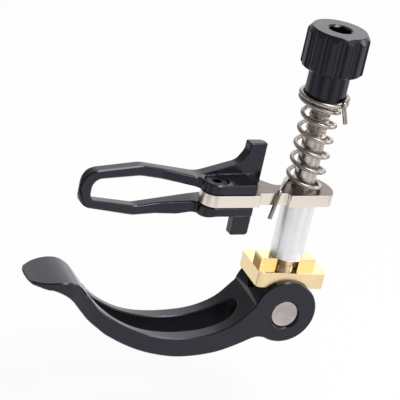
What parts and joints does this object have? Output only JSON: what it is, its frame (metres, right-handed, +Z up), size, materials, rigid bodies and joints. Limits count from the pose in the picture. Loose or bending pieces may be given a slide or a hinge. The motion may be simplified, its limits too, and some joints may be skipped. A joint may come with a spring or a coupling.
{
  "type": "quick-release seatpost clamp",
  "caption": "Quick-release seatpost clamp: cam lever, gold saddle and long bolt, with a sprung frame hook and a fluted thumb nut on the same bolt.",
  "frame": {"origin": "on the clamp bolt's axis, at the saddle's seat face", "axes": "+Z up the clamp bolt towards the thumb nut, +Y along the pivot pin, away from the camera of the picture; the closed lever reaches towards -X"},
  "size_m": [0.0869, 0.0187, 0.098],
  "materials": {
    "black_anodised": "satin black anodised",
    "gold_anodised": "polished gold anodised",
    "satin_aluminium": "satin turned",
    "nickel_steel": "nickel plated",
    "bolt_steel": "plain turned steel",
    "pin_steel": "matte turned steel",
    "black_steel": "black oxide",
    "spring_wire": "drawn stainless wire"
  },
  "bodies": {
    "clamp_core": {"bolt": "bolt_steel", "pivot_pin": "pin_steel", "sleeve": "satin_aluminium"},
    "lever": {"lever": "black_anodised"},
    "saddle": {"saddle": "gold_anodised"},
    "hook_arm": {"link_plate": "nickel_steel", "hook": "black_anodised", "hook_screw": "black_steel", "return_spring": "spring_wire"},
    "thumb_nut": {"thumb_nut": "black_anodised"}
  },
  "joints": [
    {"name": "lever_swing", "type": "hinge", "parent": "clamp_core", "child": "lever", "pos_m": [0, 0, -0.0126], "axis": [0, -1, 0], "range_deg": [0, 165]},
    {"name": "saddle_slide", "type": "slide", "parent": "clamp_core", "child": "saddle", "axis": [0, 0, 1], "range_m": [-0.0014, 0]},
    {"name": "hook_swing", "type": "hinge", "parent": "clamp_core", "child": "hook_arm", "pos_m": [0, 0, 0.0221], "axis": [0, 0, 1], "range_deg": [-20, 60], "stiffness_Nm_per_rad": 0.02, "deforming": ["return_spring"]},
    {"name": "nut_turn", "type": "hinge", "parent": "clamp_core", "child": "thumb_nut", "pos_m": [0, 0, 0.0646], "axis": [0, 0, 1], "continuous": true}
  ],
  "couplings": [
    {"joint": "saddle_slide", "follows": "lever_swing", "m_per_rad": -0.00045}
  ]
}
